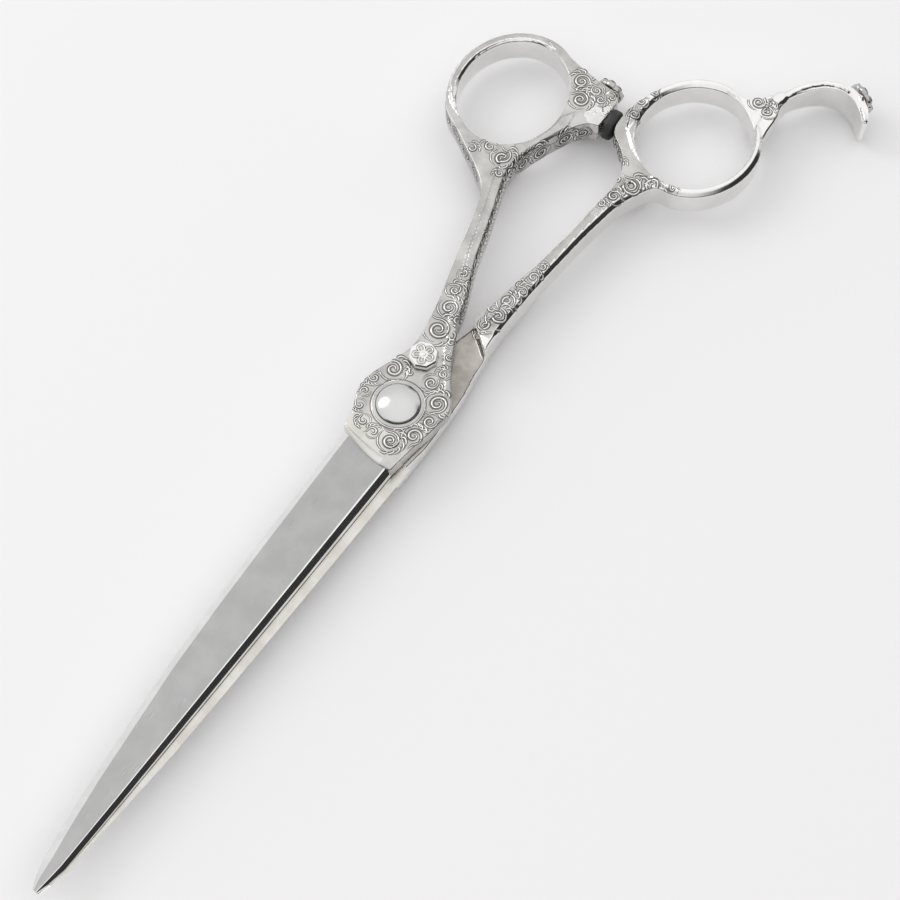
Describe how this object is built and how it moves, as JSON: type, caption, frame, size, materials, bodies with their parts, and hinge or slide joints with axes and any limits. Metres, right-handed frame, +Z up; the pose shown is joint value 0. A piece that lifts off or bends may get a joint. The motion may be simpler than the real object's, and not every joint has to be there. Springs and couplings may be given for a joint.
{
  "type": "hair cutting shears",
  "caption": "Closed long-blade hair cutting shears with engraved ring handles, a finger rest, a domed adjustable pivot and a rubber stop.",
  "frame": {"origin": "on the pivot axis, at the flat underside of the tension nut", "axes": "+Y from the pivot towards the finger rings, -Y towards the blade tip, +Z up along the pivot axis towards the domed screw head"},
  "size_m": [0.0653, 0.1905, 0.0092],
  "materials": {
    "blade_steel": "fine satin ground stainless steel",
    "handle_steel": "polished cast stainless steel with carved scrolls",
    "pivot_steel": "polished stainless steel",
    "stud_steel": "polished cast stainless steel, dark in the recesses",
    "washer_steel": "plain spring steel",
    "bearing_polymer": "natural acetal",
    "stop_rubber": "matte black"
  },
  "bodies": {
    "finger_half": {"finger_blade": "blade_steel", "finger_handle": "handle_steel", "pivot_bushing": "bearing_polymer", "rest_rosette": "stud_steel"},
    "thumb_half": {"thumb_blade": "blade_steel", "thumb_handle": "handle_steel", "pivot_screw": "pivot_steel", "ride_washer": "bearing_polymer", "head_washer": "bearing_polymer", "key_washer": "washer_steel", "spring_washer": "washer_steel", "rubber_bumper": "stop_rubber", "bumper_pin": "washer_steel", "pivot_stud": "stud_steel", "boss_rosette": "stud_steel"},
    "nut": {"tension_nut": "pivot_steel"}
  },
  "joints": [
    {"name": "blade_pivot", "type": "hinge", "parent": "finger_half", "child": "thumb_half", "pos_m": [0, 0, 0.00475], "axis": [0, 0, 1], "range_deg": [0, 65]},
    {"name": "tension_nut_turn", "type": "hinge", "parent": "thumb_half", "child": "nut", "pos_m": [0, 0, 0.00075], "axis": [0, 0, 1], "range_deg": [-60, 60]}
  ]
}
